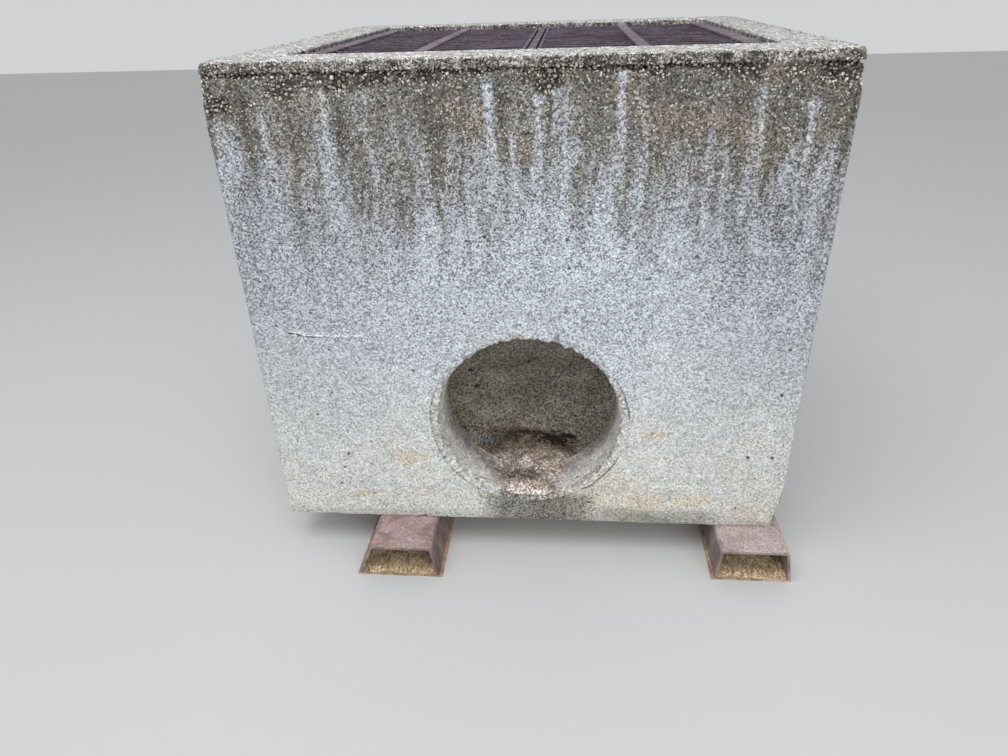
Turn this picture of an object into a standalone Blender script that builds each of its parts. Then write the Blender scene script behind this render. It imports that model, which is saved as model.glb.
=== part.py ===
"""Precast concrete drainage inlet with a two-panel steel grate, standing on two steel rails.

The concrete is one hollow casting. A round pipe hole goes through its front wall. The grate
panels lie just below the rim. Their outer ends rest on angles at the side walls and their
inner ends on a tee beam, which runs from the front wall to the back wall.
The front is at -Y, up is +Z, and the origin lies on the ground under the middle of the whole.
"""
import math

import bmesh
import bpy
from mathutils import Matrix

INCH = 0.0254

# Clearances
SEAT_GAP = 0.0003               # between a piece and what it rests on or is fixed to
SIDE_CLEAR = 0.25 * INCH        # grate panel to side wall
STEM_CLEAR = 0.24 * INCH        # grate panel to the beam's stem
END_CLEAR = 0.30 * INCH         # least space from the first and last bar to a wall
BEAM_CLEAR = 0.15 * INCH        # beam's ends to the front and back walls

# Concrete casting
BOX_W = 48.0 * INCH
BOX_D = 48.0 * INCH
BOX_H = 42.0 * INCH
WALL = 5.0 * INCH
RIGHT_WALL = 4.4 * INCH         # the mould's core sat a little to the right
FLOOR_T = 3.0 * INCH
CORNER_R = 0.75 * INCH          # upright outer corners
CHAMBER_R = 0.75 * INCH         # upright inner corners
RIM_ROUND = 0.45 * INCH         # worn outer top edge
MOUTH_ROUND = 0.25 * INCH       # worn inner top edge
FOOT_ROUND = 0.25 * INCH        # bottom edge
ARC_STEPS = 5

# Pipe hole in the front wall, made by a tapered plug
HOLE_R = 8.3 * INCH             # at the outside
HOLE_TAPER = 0.2 * INCH         # how much smaller its radius is at the inside
HOLE_EDGE = 0.22 * INCH         # broken outer edge
INVERT_STEP = 0.15 * INCH       # the hole's lowest line above the floor
HOLE_SIDES = 72

# Grate
GRATE_DROP = 0.42 * INCH        # top of the straps below the rim
BAR_T = 0.375 * INCH
BAR_DEPTH = 2.0 * INCH
BAR_PITCH = 2.15 * INCH
BAND_T = 0.25 * INCH            # band along the panel's inner ends
STRAP_T = 0.125 * INCH
SIDE_STRAP_W = 1.40 * INCH
MID_STRAP_W = 1.00 * INCH
MID_STRAP_X = 9.4 * INCH        # its middle from the beam's

# What carries the grate
STEM_T = 0.625 * INCH
FLANGE_W = 4.0 * INCH
FLANGE_T = 0.375 * INCH
ANGLE_LEG = 2.0 * INCH
ANGLE_DROP = 2.5 * INCH
ANGLE_T = 0.25 * INCH
BEAM_SEAT_L = 6.0 * INCH

# Rails under the casting
RAIL_H = 3.5 * INCH
RAIL_L = 56.2 * INCH
LEFT_RAIL_W = 6.1 * INCH        # across the top
LEFT_RAIL_SPLAY = (1.25 * INCH, 0.50 * INCH)    # how far the left and right legs lean out at the foot
RIGHT_RAIL_W = 6.3 * INCH
RIGHT_RAIL_SPLAY = (0.20 * INCH, 0.45 * INCH)
RAIL_WALL = 0.25 * INCH
RAIL_BEND_R = 0.45 * INCH
LEFT_PLATE_PAST = (0.10 * INCH, 0.30 * INCH)    # how far the strip shows past each leg's foot
RIGHT_PLATE_PAST = (0.30 * INCH, 0.05 * INCH)
PLATE_T = 0.20 * INCH
RAIL_STAGGER = 0.5 * INCH       # the left rail lies this far forward, the right one back
LEFT_RAIL_X = -11.8 * INCH      # middle of its top from the casting's middle
RIGHT_RAIL_OUT = 0.9 * INCH     # the right rail's plate past the casting's side

# Levels and middles that follow from the sizes above
BOX_Z = RAIL_H + SEAT_GAP
RIM_Z = BOX_Z + BOX_H
STRAP_TOP_Z = RIM_Z - GRATE_DROP
BAR_TOP_Z = STRAP_TOP_Z - STRAP_T - SEAT_GAP
BAR_LOW_Z = BAR_TOP_Z - BAR_DEPTH
SEAT_Z = BAR_LOW_Z - SEAT_GAP
CHAMBER_W = BOX_W - WALL - RIGHT_WALL
CHAMBER_X = (WALL - RIGHT_WALL) / 2
CHAMBER_D = BOX_D - 2 * WALL
HOLE_IN_R = HOLE_R - HOLE_TAPER
HOLE_Z = BOX_Z + FLOOR_T + INVERT_STEP + HOLE_IN_R
BAR_COUNT = int((CHAMBER_D - 2 * END_CLEAR - BAR_T) / BAR_PITCH) + 1
PANEL_OUT = CHAMBER_W / 2 - SIDE_CLEAR
PANEL_IN = STEM_T / 2 + STEM_CLEAR
RIGHT_RAIL_X = BOX_W / 2 + RIGHT_RAIL_OUT - RIGHT_PLATE_PAST[1] - RIGHT_RAIL_SPLAY[1] - RIGHT_RAIL_W / 2
MIDDLE_X = -RIGHT_RAIL_OUT / 2


def clear_scene():
    for thing in list(bpy.data.objects):
        bpy.data.objects.remove(thing, do_unlink=True)


def material(name, colour, roughness, metallic):
    made = bpy.data.materials.new(name)
    made.use_nodes = True
    shader = made.node_tree.nodes["Principled BSDF"]
    shader.inputs["Base Color"].default_value = (*colour, 1.0)
    shader.inputs["Roughness"].default_value = roughness
    shader.inputs["Metallic"].default_value = metallic
    return made


def empty(name, location, parent=None):
    made = bpy.data.objects.new(name, None)
    made.location = location
    made.parent = parent
    bpy.context.collection.objects.link(made)
    return made


def piece(name, bm, parent, location, colour, roughness=0.85, metallic=0.0):
    """Turn a bmesh into a named object with its own material."""
    bmesh.ops.recalc_face_normals(bm, faces=bm.faces)
    mesh = bpy.data.meshes.new(name)
    bm.to_mesh(mesh)
    bm.free()
    made = bpy.data.objects.new(name, mesh)
    made.parent = parent
    made.location = location
    mesh.materials.append(material(name, colour, roughness, metallic))
    bpy.context.collection.objects.link(made)
    return made


def block(size_x, size_y, size_z):
    """A box whose underside is centred on its own origin."""
    bm = bmesh.new()
    bmesh.ops.create_cube(bm, size=1.0)
    bmesh.ops.scale(bm, vec=(size_x, size_y, size_z), verts=bm.verts)
    bmesh.ops.translate(bm, vec=(0, 0, size_z / 2), verts=bm.verts)
    return bm


def prism(points, length, turn=None):
    """Extrude a closed outline up +Z, then turn it."""
    bm = bmesh.new()
    face = bm.faces.new([bm.verts.new((x, y, 0.0)) for x, y in points])
    grown = bmesh.ops.extrude_face_region(bm, geom=[face])
    top = [g for g in grown["geom"] if isinstance(g, bmesh.types.BMVert)]
    bmesh.ops.translate(bm, vec=(0, 0, length), verts=top)
    if turn is not None:
        bmesh.ops.transform(bm, matrix=turn, verts=bm.verts)
    return bm


def loft(loops):
    """Skin closed loops of equal length, one after another, and cap both ends."""
    bm = bmesh.new()
    rings = [[bm.verts.new(co) for co in loop] for loop in loops]
    for low, high in zip(rings, rings[1:]):
        for i, vert in enumerate(low):
            after = (i + 1) % len(low)
            bm.faces.new((vert, low[after], high[after], high[i]))
    bm.faces.new(rings[0][::-1])
    bm.faces.new(rings[-1])
    return bm


def plan(half_x, half_y, radius, z):
    """A rounded rectangle at one height."""
    loop = []
    for quarter, (sx, sy) in enumerate(((1, 1), (-1, 1), (-1, -1), (1, -1))):
        for step in range(ARC_STEPS + 1):
            a = math.pi / 2 * (quarter + step / ARC_STEPS)
            x = sx * (half_x - radius) + radius * math.cos(a)
            y = sy * (half_y - radius) + radius * math.sin(a)
            loop.append((x, y, z))
    return loop


def quarter_round(radius, start, end):
    """Steps of (inset, rise) along a rounded edge."""
    steps = []
    for step in range(ARC_STEPS + 1):
        a = start + (end - start) * step / ARC_STEPS
        steps.append((radius * (1 - math.cos(a)), radius * math.sin(a)))
    return steps


def cutter(name, bm, parent, location):
    made = piece(name, bm, parent, location, (0.8, 0.1, 0.1))
    made.hide_render = True
    made.display_type = "WIRE"
    return made


def cut(target, tool):
    boolean = target.modifiers.new(tool.name, "BOOLEAN")
    boolean.operation = "DIFFERENCE"
    boolean.solver = "EXACT"
    boolean.object = tool


def make_casting(parent):
    """Outer block with worn edges, less the chamber and the pipe hole."""
    hx, hy = BOX_W / 2, BOX_D / 2
    loops = [plan(hx - FOOT_ROUND, hy - FOOT_ROUND, CORNER_R, 0.0), plan(hx, hy, CORNER_R, FOOT_ROUND)]
    for inset, rise in quarter_round(RIM_ROUND, 0.0, math.pi / 2):
        loops.append(plan(hx - inset, hy - inset, CORNER_R, BOX_H - RIM_ROUND + rise))
    casting = piece("inlet_box", loft(loops), parent, (0, 0, BOX_Z), (0.42, 0.42, 0.40), 0.9)

    cx, cy = CHAMBER_W / 2, CHAMBER_D / 2
    loops = [plan(cx, cy, CHAMBER_R, FLOOR_T)]
    for inset, rise in quarter_round(MOUTH_ROUND, 0.0, math.pi / 2):
        loops.append(plan(cx + inset, cy + inset, CHAMBER_R + inset, BOX_H - MOUTH_ROUND + rise))
    loops.append(plan(cx + MOUTH_ROUND, cy + MOUTH_ROUND, CHAMBER_R + MOUTH_ROUND, BOX_H + WALL))
    cut(casting, cutter("chamber_cutter", loft(loops), parent, (CHAMBER_X, 0, BOX_Z)))

    past = WALL / 4
    stations = [(-past, HOLE_R + HOLE_EDGE), (0.0, HOLE_R + HOLE_EDGE), (HOLE_EDGE, HOLE_R),
                (WALL, HOLE_IN_R), (WALL + past, HOLE_IN_R)]
    loops = []
    for y, radius in stations:
        turns = [2 * math.pi * i / HOLE_SIDES for i in range(HOLE_SIDES)]
        loops.append([(radius * math.cos(a), y, radius * math.sin(a)) for a in turns])
    cut(casting, cutter("pipe_hole_cutter", loft(loops), parent, (CHAMBER_X, -hy, HOLE_Z)))
    return casting


STEEL = (0.17, 0.115, 0.11)
WORN_STEEL = (0.24, 0.175, 0.175)


def angle_profile(leg, drop, thickness):
    """An L with its corner at the origin: one leg runs to +X, the other hangs down."""
    return [(0, 0), (leg, 0), (leg, -thickness), (thickness, -thickness), (thickness, -drop), (0, -drop)]


def make_seats(parent):
    """Angles fixed to the walls, each with one leg out level and one leg down the wall."""
    length = CHAMBER_D - 2 * (CHAMBER_R + BEAM_CLEAR)
    profile = angle_profile(ANGLE_LEG, ANGLE_DROP, ANGLE_T)
    upright = Matrix.Rotation(math.pi / 2, 4, "X")
    wall_x = CHAMBER_W / 2 - SEAT_GAP
    for side, name in ((-1, "side_seat_left"), (1, "side_seat_right")):
        bm = prism(profile, length, upright)
        if side > 0:
            bmesh.ops.scale(bm, vec=(-1, 1, 1), verts=bm.verts)
        piece(name, bm, parent, (side * wall_x, length / 2, SEAT_Z), STEEL, 0.8, 0.4)

    wall_y = CHAMBER_D / 2 - SEAT_GAP
    seat_z = SEAT_Z - FLANGE_T - SEAT_GAP
    for side, name in ((-1, "beam_seat_front"), (1, "beam_seat_back")):
        bm = prism(profile, BEAM_SEAT_L, Matrix.Rotation(-side * math.pi / 2, 4, "Z") @ upright)
        at = (side * BEAM_SEAT_L / 2, side * wall_y, seat_z)
        piece(name, bm, parent, at, STEEL, 0.8, 0.4)


def make_beam(parent):
    """An upside-down tee: the panels rest on its flange on both sides of its stem."""
    length = CHAMBER_D - 2 * (BEAM_CLEAR + SEAT_GAP)
    f, s = FLANGE_W / 2, STEM_T / 2
    profile = [(-f, -FLANGE_T), (f, -FLANGE_T), (f, 0), (s, 0), (s, BAR_DEPTH), (-s, BAR_DEPTH), (-s, 0), (-f, 0)]
    bm = prism(profile, length, Matrix.Rotation(math.pi / 2, 4, "X"))
    piece("centre_beam", bm, parent, (0, length / 2, SEAT_Z), STEEL, 0.8, 0.4)


def comb_outline():
    """A panel seen from above: the band at x = 0 and one tooth for each bar, all of one outline."""
    first = -BAR_PITCH * (BAR_COUNT - 1) / 2
    reach = PANEL_OUT - PANEL_IN
    low_y = first - BAR_T / 2
    points = [(0.0, -low_y), (0.0, low_y)]
    for i in range(BAR_COUNT):
        y = first + i * BAR_PITCH
        root = BAND_T if i > 0 else None
        if root is not None:
            points.append((root, y - BAR_T / 2))
        points.append((reach, y - BAR_T / 2))
        points.append((reach, y + BAR_T / 2))
        if i < BAR_COUNT - 1:
            points.append((BAND_T, y + BAR_T / 2))
    return points


def make_panel(side, word, parent):
    """One grate panel: bars fused to their inner band, and two straps across their tops."""
    lift = empty(word + "_grate_lift", (side * PANEL_IN, 0, 0), parent)
    bm = prism(comb_outline(), BAR_DEPTH)
    if side < 0:
        bmesh.ops.scale(bm, vec=(-1, 1, 1), verts=bm.verts)
    piece(word + "_grate_bars", bm, lift, (0, 0, BAR_LOW_Z), STEEL, 0.8, 0.4)

    long_y = BAR_PITCH * (BAR_COUNT - 1) + BAR_T
    reach = PANEL_OUT - PANEL_IN
    strap_z = BAR_TOP_Z + SEAT_GAP
    side_x, mid_x = side * (reach - SIDE_STRAP_W / 2), side * (MID_STRAP_X - PANEL_IN)
    piece(word + "_grate_side_strap", block(SIDE_STRAP_W, long_y, STRAP_T), lift, (side_x, 0, strap_z),
          WORN_STEEL, 0.75, 0.4)
    piece(word + "_grate_mid_strap", block(MID_STRAP_W, long_y, STRAP_T), lift, (mid_x, 0, strap_z),
          WORN_STEEL, 0.75, 0.4)


def channel_profile(width, splay):
    """A trough with splayed legs, open at the bottom, all of one wall thickness."""
    def side_path(side, inset):
        top = width / 2 - inset
        low, high = PLATE_T + SEAT_GAP, RAIL_H - inset
        bend = RAIL_BEND_R - inset
        points = [(side * (top + splay[side > 0]), low)]
        for step in range(ARC_STEPS + 1):
            a = math.pi / 2 * step / ARC_STEPS
            points.append((side * (top - bend + bend * math.cos(a)), high - bend + bend * math.sin(a)))
        return points
    outline = side_path(1, 0.0) + side_path(-1, 0.0)[::-1]
    hollow = side_path(1, RAIL_WALL) + side_path(-1, RAIL_WALL)[::-1]
    return outline + hollow[::-1]


def make_rail(word, x, shift, width, splay, past, parent):
    """One folded trough lying from front to back, and the flat strip under it."""
    bm = prism(channel_profile(width, splay), RAIL_L, Matrix.Rotation(math.pi / 2, 4, "X"))
    piece(word + "_rail_channel", bm, parent, (x, shift + RAIL_L / 2, 0), WORN_STEEL, 0.8, 0.4)
    left, right = -width / 2 - splay[0] - past[0], width / 2 + splay[1] + past[1]
    strip = block(right - left, RAIL_L, PLATE_T)
    piece(word + "_rail_plate", strip, parent, (x + (left + right) / 2, shift, 0), STEEL, 0.85, 0.3)


def main():
    clear_scene()
    middle = empty("inlet_middle", (MIDDLE_X, 0, 0))
    make_casting(middle)
    mouth = empty("mouth_middle", (CHAMBER_X, 0, 0), middle)
    make_seats(mouth)
    make_beam(mouth)
    make_panel(-1, "left", mouth)
    make_panel(1, "right", mouth)
    make_rail("left", LEFT_RAIL_X, -RAIL_STAGGER, LEFT_RAIL_W, LEFT_RAIL_SPLAY, LEFT_PLATE_PAST, middle)
    make_rail("right", RIGHT_RAIL_X, RAIL_STAGGER, RIGHT_RAIL_W, RIGHT_RAIL_SPLAY, RIGHT_PLATE_PAST, middle)


main()
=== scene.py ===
"""Looks for the precast drainage inlet: weathered concrete, rusted grate and rails, dirt and stones."""
import math
import random

import bmesh
import bpy
from mathutils import Matrix, Vector, noise


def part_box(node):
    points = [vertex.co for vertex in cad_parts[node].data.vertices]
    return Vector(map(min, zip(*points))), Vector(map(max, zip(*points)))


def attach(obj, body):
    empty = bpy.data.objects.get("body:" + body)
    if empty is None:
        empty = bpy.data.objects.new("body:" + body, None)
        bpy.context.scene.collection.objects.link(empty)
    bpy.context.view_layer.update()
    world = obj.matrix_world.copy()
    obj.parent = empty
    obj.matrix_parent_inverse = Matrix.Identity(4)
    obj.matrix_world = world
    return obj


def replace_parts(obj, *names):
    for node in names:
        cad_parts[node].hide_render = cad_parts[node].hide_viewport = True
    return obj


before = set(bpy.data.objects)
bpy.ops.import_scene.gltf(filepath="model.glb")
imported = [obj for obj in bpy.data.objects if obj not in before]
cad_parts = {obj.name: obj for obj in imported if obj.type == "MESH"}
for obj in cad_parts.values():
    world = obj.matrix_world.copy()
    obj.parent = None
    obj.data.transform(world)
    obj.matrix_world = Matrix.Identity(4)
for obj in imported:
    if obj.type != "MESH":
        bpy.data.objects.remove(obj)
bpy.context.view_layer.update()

# Places read from the frame, in metres
BOX_LOW, BOX_HIGH = (Vector(corner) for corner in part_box("inlet_box"))
MIDDLE = (BOX_LOW + BOX_HIGH) / 2
HALF = (BOX_HIGH - BOX_LOW) / 2
RIM, FOOT = BOX_HIGH.z, BOX_LOW.z
HEIGHT = RIM - FOOT

INCH = 0.0254
WALL = 5.0 * INCH
RIGHT_WALL = 4.4 * INCH
FLOOR_TOP = FOOT + 3.0 * INCH
CHAMBER_X = MIDDLE.x + (WALL - RIGHT_WALL) / 2
CHAMBER_HALF_X = HALF.x - (WALL + RIGHT_WALL) / 2
CHAMBER_HALF_Y = HALF.y - WALL
CHAMBER_CORNER = 0.75 * INCH
MOUTH_ROUND = 0.25 * INCH
HOLE_R = 8.3 * INCH
HOLE_IN_R = 8.1 * INCH
HOLE_Z = FLOOR_TOP + 0.15 * INCH + HOLE_IN_R
HOLE_CORNERS = 240

FRONT, RIGHT, BACK, LEFT = range(4)
LIP = 0.021                     # height of the worn lip under the rim
ROUGH_DEEP = 0.120              # the exposed stones end above this depth
SKIN_GAP = 0.0003               # stones stay this far inside the casting's own planes
STONE_REACH = 0.606             # stones lie this far along a side from its middle
EDGE_REACH = 0.030              # the pipe hole's broken edge pulls the skin along this far
BROKEN_BY = 0.016               # lost from the bottom of the front right corner
RAIL_WALL = 0.25 * INCH
BAR_PITCH = 2.15 * INCH
BAR_COUNT = 18


def smooth(low, high, value):
    """0 below low, 1 above high, eased between."""
    t = min(1.0, max(0.0, (value - low) / (high - low)))
    return t * t * (3 - 2 * t)


def wavy(x, y, z, scale):
    return noise.noise(Vector((x * scale, y * scale, z * scale)))


def paint(red, green, blue):
    """A colour from its values between 0 and 255."""
    return (*(((c / 255 + 0.055) / 1.055) ** 2.4 for c in (red, green, blue)), 1.0)


# ---- objects ----

def into_scene(name, data):
    made = bpy.data.objects.new(name, data)
    bpy.context.collection.objects.link(made)
    return made


def mesh_of(name, bm):
    mesh = bpy.data.meshes.new(name)
    bm.to_mesh(mesh)
    bm.free()
    return mesh


def bmesh_of(mesh):
    bm = bmesh.new()
    bm.from_mesh(mesh)
    bpy.data.meshes.remove(mesh)
    return bm


def finish_piece(name, bm, materials, body, smooth_degrees=40):
    """Make an object at the origin from a bmesh, and ride it on its body."""
    made = into_scene(name, mesh_of(name, bm))
    for material in materials:
        made.data.materials.append(material)
    made.data.shade_smooth()
    made.data.set_sharp_from_angle(angle=math.radians(smooth_degrees))
    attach(made, body)
    return made


def evaluated_copy(obj):
    depsgraph = bpy.context.evaluated_depsgraph_get()
    return bpy.data.meshes.new_from_object(obj.evaluated_get(depsgraph))


def extruded(bm, faces):
    """Extrude faces. Gives the new vertices and the new faces."""
    grown = bmesh.ops.extrude_face_region(bm, geom=faces)["geom"]
    return [[g for g in grown if isinstance(g, kind)] for kind in (bmesh.types.BMVert, bmesh.types.BMFace)]


def box_mesh(low, high):
    bm = bmesh.new()
    bmesh.ops.create_cube(bm, size=1.0)
    bmesh.ops.scale(bm, vec=Vector(high) - Vector(low), verts=bm.verts)
    bmesh.ops.translate(bm, vec=(Vector(high) + Vector(low)) / 2, verts=bm.verts)
    return bm


def runs_along(edge, axis):
    run = edge.verts[1].co - edge.verts[0].co
    return abs(run[axis]) > 0.9 * run.length


def cut_along(bm, axis, cuts, wanted=lambda edge: True):
    """Divide every edge that runs along one axis."""
    chosen = [e for e in bm.edges if runs_along(e, axis) and wanted(e)]
    bmesh.ops.subdivide_edges(bm, edges=chosen, cuts=cuts, use_grid_fill=True)


def refine(bm, inside):
    """Halve the cells whose corners all lie inside a zone."""
    kept = {v for v in bm.verts if inside(v.co)}
    chosen = [e for e in bm.edges if e.verts[0] in kept and e.verts[1] in kept]
    bmesh.ops.subdivide_edges(bm, edges=chosen, cuts=1, use_grid_fill=True)


# ---- the casting's worn skin ----

def patch(u, d, u0, u1, d0, d1, soft=0.014):
    """1 inside a patch of a face, easing to 0 outside: u along the face, d down from the rim."""
    across = smooth(u0 - soft, u0 + soft, u) * (1 - smooth(u1 - soft, u1 + soft, u))
    down = smooth(d0 - soft / 2, d0 + soft / 2, d) * (1 - smooth(d1 - soft, d1 + soft, d))
    return across * down


# Where stones show on the front: from, to, depth from, depth to, how openly
FRONT_PATCHES = (
    (-0.62, -0.553, 0.060, 0.104, 1.00), (-0.62, -0.585, 0.022, 0.066, 0.70), (-0.56, -0.482, 0.022, 0.034, 0.80),
    (-0.540, -0.492, 0.066, 0.088, 0.70), (-0.482, -0.425, 0.022, 0.072, 0.75), (-0.425, -0.378, 0.022, 0.056, 0.70),
    (-0.378, -0.304, 0.022, 0.058, 1.00), (-0.304, -0.231, 0.022, 0.047, 0.95), (-0.231, -0.151, 0.022, 0.042, 1.00),
    (-0.151, -0.063, 0.022, 0.034, 0.95), (0.018, 0.081, 0.022, 0.062, 1.00), (-0.022, 0.018, 0.044, 0.058, 0.50),
    (0.139, 0.177, 0.022, 0.043, 0.85), (0.195, 0.270, 0.022, 0.038, 0.95), (0.196, 0.214, 0.038, 0.052, 0.60),
    (0.265, 0.376, 0.022, 0.031, 0.80), (0.340, 0.440, 0.023, 0.052, 0.90), (0.468, 0.508, 0.023, 0.048, 0.85),
    (0.527, 0.62, 0.022, 0.060, 1.00), (0.045, 0.092, 0.074, 0.086, 0.40),
)


def chance_patches(side):
    """The same kind of list for a wall that the front doesn't show, matched at its corners."""
    rng = random.Random(40 + side)
    made = [(-0.62, -0.56, 0.022, 0.070, 0.9), (0.55, 0.62, 0.022, 0.080, 0.9)]
    u = -0.57
    while u < 0.55:
        width = rng.uniform(0.03, 0.10)
        made.append((u, u + width, 0.022, rng.uniform(0.026, 0.070), rng.uniform(0.45, 1.0)))
        u += width + rng.uniform(-0.01, 0.03)
    return made


PATCHES = {FRONT: FRONT_PATCHES, RIGHT: chance_patches(RIGHT), BACK: chance_patches(BACK), LEFT: chance_patches(LEFT)}


def stoniness(side, u, d):
    """How openly the stones show at a place on a wall's outer face, from 0 to 1."""
    if d > ROUGH_DEEP:
        return 0.0
    u_bent = u + 0.016 * wavy(u, d, side, 38) + 0.006 * wavy(u, d, side, 110)
    d_bent = d + 0.010 * wavy(u, d, side + 7, 34) + 0.005 * wavy(u, d, side + 7, 120)
    return max(strength * patch(u_bent, d_bent, *edge) for *edge, strength in PATCHES[side])


def seam(side, u, d):
    """The dark undercut line right below the lip."""
    middle = LIP + 0.0035 + 0.0030 * wavy(u, side, 0, 16) + 0.0015 * wavy(u, side, 0, 70)
    half = 0.0038 + 0.0016 * wavy(u, side, 5, 40)
    openly = smooth(-0.42, -0.02, wavy(u, side * 2.3, 0.3, 9) + 0.5 * wavy(u, side, 0.7, 45))
    return (1 - smooth(half * 0.5, half * 1.5, abs(d - middle))) * openly


def pebbly(u, d, side, scale):
    """0 on the crown of a stone and 1 in the gap between stones."""
    distances, _ = noise.voronoi(Vector((u * scale, d * scale, side * 5.0)))
    return min(1.0, distances[0] * 1.5)


def side_loss(side, u, d):
    """Depth of concrete lost from one outer face, and how stony it is there, with the undercut line counted in; the
    outside finish paints shade by this second value.
    """
    loss = 0.0009 + 0.0007 * wavy(u, d, side, 4) + 0.0004 * wavy(u, d, side, 45)
    if d > ROUGH_DEEP:
        return loss, 0.0
    stony, undercut = stoniness(side, u, d), seam(side, u, d)
    loss += (1 - smooth(LIP - 0.007, LIP + 0.002, d)) * (0.0012 + 0.0016 * pebbly(u, d, side, 190))
    loss += stony * (0.0042 + 0.0042 * pebbly(u, d, side, 105)) + undercut * 0.0090
    return loss, max(0.80 * stony, undercut)


def edge_radius(p, d):
    """How far the edges near a point have worn round."""
    corner = smooth(HALF.x - 0.06, HALF.x, abs(p.x)) * smooth(HALF.y - 0.06, HALF.y, abs(p.y))
    top = 0.009 + 0.004 * wavy(p.x, p.y, 0, 14) + 0.010 * corner
    upright = 0.009 + 0.004 * wavy(p.x, p.y, d, 9) + 0.003 * wavy(p.x, p.y, d, 60)
    low = 0.0014 + 0.012 * max(0.0, wavy(p.x, p.y, 2.0, 13)) ** 2
    near_top = 1 - smooth(0.02, 0.06, d)
    near_low = smooth(HEIGHT - 0.05, HEIGHT - 0.012, d)
    return top * near_top + low * near_low + upright * (1 - near_top) * (1 - near_low)


def foot_rise(p):
    """Small chips along the bottom edge, and one larger one over the left rail."""
    along = p.x if abs(p.y) > abs(p.x) * HALF.y / HALF.x else p.y + 3
    rise = 0.0008 + 0.0034 * abs(wavy(along, 0, 0, 21)) + 0.0026 * max(0.0, wavy(along, 0, 2, 75))
    if p.y < -HALF.y + 0.03:
        rise += 0.0052 * (1 - smooth(0.004, 0.014, abs(p.x + 0.259))) * (0.8 + 0.5 * wavy(p.x, 0, 0, 200))
    return rise


def weather_outside(place):
    """Where a point of the plain block lies on the worn skin, how stony it is, and the way it faces."""
    p = place - MIDDLE
    d = HALF.z - p.z
    r = edge_radius(p, d)
    core = Vector([max(-(HALF[i] - r), min(HALF[i] - r, p[i])) for i in range(3)])
    out = p - core
    if out.length < 1e-9:
        return place.copy(), 0.0, Vector((0, 0, 1))
    facing = out.normalized()
    loss_x, stony_x = side_loss(RIGHT if p.x > 0 else LEFT, p.y, d)
    loss_y, stony_y = side_loss(BACK if p.y > 0 else FRONT, p.x, d)
    outer = smooth(HALF.x - 0.055, HALF.x - 0.01, max(abs(p.x), abs(p.y) * HALF.x / HALF.y))
    top_loss = 0.0010 + 0.0006 * wavy(p.x, p.y, 1.0, 9) + (0.0005 + 0.0010 * outer) * pebbly(p.x, p.y, 9, 170)
    loss = facing.x ** 2 * loss_x + facing.y ** 2 * loss_y + facing.z ** 2 * top_loss
    worn = core + facing * (r - loss)
    # the front right corner is broken away at the bottom
    break_in = BROKEN_BY * smooth(0.935, HEIGHT, d) * (1 - smooth(0.02, 0.10, p.y + HALF.y))
    if break_in > 0:
        worn.x = min(worn.x, HALF.x - break_in - 0.002 - 0.004 * wavy(p.x, p.y, d, 45) - 0.002 * wavy(p.y, d, 0, 140))
    if d > HEIGHT - 0.02:
        edge = smooth(0.045, 0.0, min(HALF.x - abs(p.x), HALF.y - abs(p.y)))
        worn.z = max(worn.z, -HALF.z + foot_rise(p) * edge)
    return MIDDLE + worn, facing.x ** 2 * stony_x + facing.y ** 2 * stony_y, facing


def from_hole(place):
    return math.hypot(place.x - CHAMBER_X, place.z - HOLE_Z)


def angle_at_hole(place):
    return math.atan2(place.z - HOLE_Z, place.x - CHAMBER_X)


def away_from_hole(place):
    return Vector((place.x - CHAMBER_X, 0, place.z - HOLE_Z)).normalized()


def bore_radius(y):
    return HOLE_R - (HOLE_R - HOLE_IN_R) * smooth(0, 1, (y - BOX_LOW.y) / WALL)


def broken_out(corner):
    """How far the pipe hole's outer edge has broken away at one corner of its outline."""
    angle = 2 * math.pi * corner / HOLE_CORNERS
    ca, sa = math.cos(angle), math.sin(angle)
    rough = wavy(ca, sa, 0, 7) + 0.8 * wavy(ca, sa, 3, 24) + 0.8 * wavy(ca, sa, 0, 60)
    bites = max(0.0, wavy(ca, sa, 9, 12) - 0.12) + max(0.0, wavy(ca, sa, 4, 30) - 0.20)
    return 0.0022 + 0.0054 * rough + 0.0250 * bites


def hole_growth(place, depth):
    """How much wider the worn hole is at a place. Between corners it changes evenly, so the skin beside it follows."""
    angle = angle_at_hole(place)
    ca, sa = math.cos(angle), math.sin(angle)
    at = angle / (2 * math.pi) * HOLE_CORNERS
    corner = math.floor(at)
    broken = broken_out(corner) + (at - corner) * (broken_out(corner + 1) - broken_out(corner))
    edge = 1 - smooth(0.002, 0.016, depth)
    return edge * broken - 0.0009 * wavy(ca, sa, depth * 8, 5) - 0.0004 * wavy(ca * 4, sa * 4, depth * 90, 3)


def weather_bore(place):
    """Roughen the pipe hole and break its outer edge."""
    depth = place.y - BOX_LOW.y
    pushed_in = collar_loss(place) + side_loss(FRONT, place.x - MIDDLE.x, RIM - place.z)[0]
    inwards = Vector((0, pushed_in * (1 - smooth(0.0, EDGE_REACH, depth)), 0))
    return place + away_from_hole(place) * hole_growth(place, depth) + inwards


def collar_loss(place):
    """The rough ring that the plug left around the hole on the front face."""
    ring = from_hole(place) - HOLE_R
    angle = angle_at_hole(place)
    width = 0.013 + 0.004 * wavy(math.cos(angle), math.sin(angle), 0, 2.5)
    inside = 1 - smooth(width - 0.003, width + 0.002, ring)
    deep = 0.3 + 0.9 * max(0.0, wavy(math.cos(angle), math.sin(angle), 5, 2.2) - math.sin(angle) * 0.5)
    return inside * deep * (0.0010 + 0.0022 * pebbly(place.x, place.z, 3, 230)) + 0.0035 * (1 - smooth(0.0, 0.006,
                                                                                                       ring))


# ---- casting ----

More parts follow.
